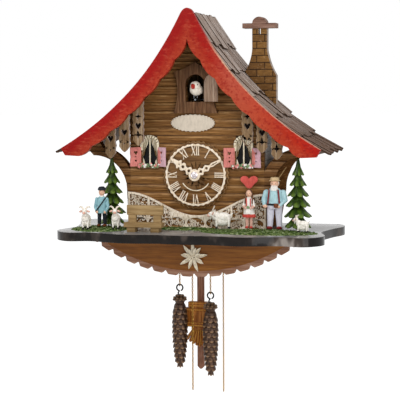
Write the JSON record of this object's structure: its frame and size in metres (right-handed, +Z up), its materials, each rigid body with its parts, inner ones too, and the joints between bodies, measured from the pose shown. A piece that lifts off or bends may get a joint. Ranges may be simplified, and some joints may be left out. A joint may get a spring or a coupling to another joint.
{
  "type": "cuckoo_clock",
  "caption": "Chalet cuckoo clock with two cone weights, pendulum, gear train, opening bird door, folk figures and a wavy stage",
  "frame": {"origin": "centre of the hanging hole on the rear plane, where the wall touches the back panel", "axes": "+X to the viewer's right when facing the dial, +Y into the wall, +Z up; the dial faces -Y"},
  "size_m": [0.3947, 0.205, 0.5435],
  "materials": {
    "lacquer": "black gloss lacquer over a wavy wooden shelf",
    "walnut": "walnut stain with routed log grooves",
    "brace_wood": "stained solid wood",
    "roof_wood": "plain sawn wood",
    "shingle": "split pale shingles with dark gaps",
    "red_paint": "red painted and brushed wood with carved waves",
    "carved_wood": "carved and stained limewood",
    "brick": "wood painted as brickwork",
    "cream": "cream moulded fretwork",
    "dial_wood": "turned and stained wood",
    "shutter_paint": "pink-red painted wood",
    "flowers": "painted box with small flowers",
    "oak": "plain pale wood",
    "pine_green": "painted green with pale tips",
    "figure_paint": "hand painted carved figure",
    "goat_paint": "white painted carved animal",
    "turf_paint": "green flock on a card base",
    "brass": "stamped and polished brass",
    "steel": "drawn steel",
    "cast_iron": "cast iron, bronzed",
    "bellows": "plain box with pale cloth",
    "bird_paint": "painted carved bird",
    "hand_white": "cream moulded hand",
    "rod_wood": "stained wood"
  },
  "bodies": {
    "case": {"stage_board": "lacquer", "front_wall": "walnut", "side_walls": "walnut", "back_panel": "roof_wood", "left_roof_board": "roof_wood", "right_roof_board": "roof_wood", "left_shingles": "shingle", "right_shingles": "shingle", "left_bargeboard": "red_paint", "right_bargeboard": "red_paint", "eave_slats": "carved_wood", "eave_braces": "brace_wood", "chimney": "brick", "door_surround": "carved_wood", "name_plaque": "carved_wood", "dial": "dial_wood", "chapter_ring": "cream", "window_curtains": "cream", "window_shutters": "shutter_paint", "flower_boxes": "flowers", "lattice_panel": "cream", "bench": "oak", "pine_trees": "pine_green", "herder_figure": "figure_paint", "girl_figure": "figure_paint", "elder_figure": "figure_paint", "goats": "goat_paint", "turf": "turf_paint", "apron": "carved_wood", "edelweiss": "cream", "front_plate": "brass", "back_plate": "brass", "whistles": "bellows", "bird_bracket": "bellows", "left_chain": "brass", "right_chain": "brass"},
    "minute_arbor": {"centre_wheel": "brass", "minute_hand": "hand_white"},
    "hour_pipe": {"hour_hand": "hand_white"},
    "motion": {"motion_wheel": "brass"},
    "time_great": {"time_wheel": "brass"},
    "third": {"third_wheel": "brass"},
    "escape": {"escape_wheel": "brass"},
    "crutch": {"anchor": "steel"},
    "pendulum": {"pendulum_rod": "rod_wood", "pendulum_bob": "carved_wood"},
    "left_weight": {"left_cone": "cast_iron"},
    "right_weight": {"right_cone": "cast_iron"},
    "left_chain_wheel": {"time_sprocket": "brass"},
    "right_chain_wheel": {"strike_sprocket": "brass"},
    "strike_great": {"strike_wheel": "brass"},
    "lifting": {"pin_wheel": "brass"},
    "bird": {"cuckoo_bird": "bird_paint", "bird_arm": "steel"},
    "door": {"cuckoo_door": "carved_wood"},
    "left_bellows": {"left_bellows_lid": "bellows"},
    "right_bellows": {"right_bellows_lid": "bellows"},
    "strike_hammer": {"hammer": "steel"},
    "access_door": {"rear_door": "roof_wood", "gong": "steel"}
  },
  "joints": [
    {"name": "minute_turn", "type": "hinge", "parent": "case", "child": "minute_arbor", "pos_m": [0, -0.07, -0.165], "axis": [0, 1, 0], "continuous": true},
    {"name": "hour_turn", "type": "hinge", "parent": "case", "child": "hour_pipe", "pos_m": [0, -0.07, -0.165], "axis": [0, 1, 0], "continuous": true},
    {"name": "motion_turn", "type": "hinge", "parent": "case", "child": "motion", "pos_m": [0.01353, -0.07, -0.16992], "axis": [0, 1, 0], "continuous": true},
    {"name": "time_great_turn", "type": "hinge", "parent": "case", "child": "time_great", "pos_m": [-0.0244, -0.07, -0.18795], "axis": [0, 1, 0], "continuous": true},
    {"name": "third_turn", "type": "hinge", "parent": "case", "child": "third", "pos_m": [-0.01414, -0.07, -0.15086], "axis": [0, 1, 0], "continuous": true},
    {"name": "escape_turn", "type": "hinge", "parent": "case", "child": "escape", "pos_m": [-0.0095, -0.07, -0.1314], "axis": [0, 1, 0], "continuous": true},
    {"name": "pendulum_swing", "type": "hinge", "parent": "case", "child": "pendulum", "pos_m": [-0.0095, -0.044, -0.1164], "axis": [0, 1, 0], "range_deg": [-4.5, 4.5]},
    {"name": "crutch_swing", "type": "hinge", "parent": "case", "child": "crutch", "pos_m": [-0.0095, -0.06, -0.1164], "axis": [0, 1, 0], "range_deg": [-4.5, 4.5]},
    {"name": "left_weight_drop", "type": "slide", "parent": "case", "child": "left_weight", "axis": [0, 0, -1], "range_m": [0, 0.14], "deforming": ["left_chain"]},
    {"name": "right_weight_drop", "type": "slide", "parent": "case", "child": "right_weight", "axis": [0, 0, -1], "range_m": [0, 0.14], "deforming": ["right_chain"]},
    {"name": "left_chain_wheel_turn", "type": "hinge", "parent": "case", "child": "left_chain_wheel", "pos_m": [-0.0244, -0.07, -0.18795], "axis": [0, 1, 0], "continuous": true},
    {"name": "right_chain_wheel_turn", "type": "hinge", "parent": "case", "child": "right_chain_wheel", "pos_m": [0.0213, -0.07, -0.18795], "axis": [0, 1, 0], "continuous": true},
    {"name": "strike_great_turn", "type": "hinge", "parent": "case", "child": "strike_great", "pos_m": [0.0213, -0.07, -0.18795], "axis": [0, 1, 0], "continuous": true},
    {"name": "lifting_turn", "type": "hinge", "parent": "case", "child": "lifting", "pos_m": [0.0293, -0.07, -0.15697], "axis": [0, 1, 0], "continuous": true},
    {"name": "bird_turn", "type": "hinge", "parent": "case", "child": "bird", "pos_m": [0.058, -0.082, -0.06], "axis": [0, 0, 1], "range_deg": [-32, 0]},
    {"name": "door_turn", "type": "hinge", "parent": "case", "child": "door", "pos_m": [0.0142, -0.106, -0.044], "axis": [0, 0, 1], "range_deg": [-145, 0]},
    {"name": "left_bellows_lift", "type": "hinge", "parent": "case", "child": "left_bellows", "pos_m": [-0.076, -0.05, -0.116], "axis": [-1, 0, 0], "range_deg": [0, 18]},
    {"name": "right_bellows_lift", "type": "hinge", "parent": "case", "child": "right_bellows", "pos_m": [0.076, -0.05, -0.116], "axis": [-1, 0, 0], "range_deg": [0, 18]},
    {"name": "hammer_swing", "type": "hinge", "parent": "case", "child": "strike_hammer", "pos_m": [0.025, -0.06, -0.128], "axis": [0, 1, 0], "range_deg": [-25, 0]},
    {"name": "rear_door_turn", "type": "hinge", "parent": "case", "child": "access_door", "pos_m": [-0.0387, -0.003, -0.155], "axis": [0, 0, 1], "range_deg": [0, 90]}
  ],
  "couplings": [
    {"joint": "hour_turn", "follows": "minute_turn", "ratio": 0.083333},
    {"joint": "motion_turn", "follows": "minute_turn", "ratio": -0.33333},
    {"joint": "time_great_turn", "follows": "minute_turn", "ratio": -0.24074},
    {"joint": "third_turn", "follows": "minute_turn", "ratio": -4},
    {"joint": "escape_turn", "follows": "minute_turn", "ratio": 16},
    {"joint": "crutch_swing", "follows": "pendulum_swing", "ratio": 1},
    {"joint": "left_chain_wheel_turn", "follows": "left_weight_drop", "rad_per_m": -105.26},
    {"joint": "right_chain_wheel_turn", "follows": "right_weight_drop", "rad_per_m": -105.26},
    {"joint": "lifting_turn", "follows": "strike_great_turn", "ratio": -5.4},
    {"joint": "door_turn", "follows": "bird_turn", "ratio": 4.5312}
  ]
}
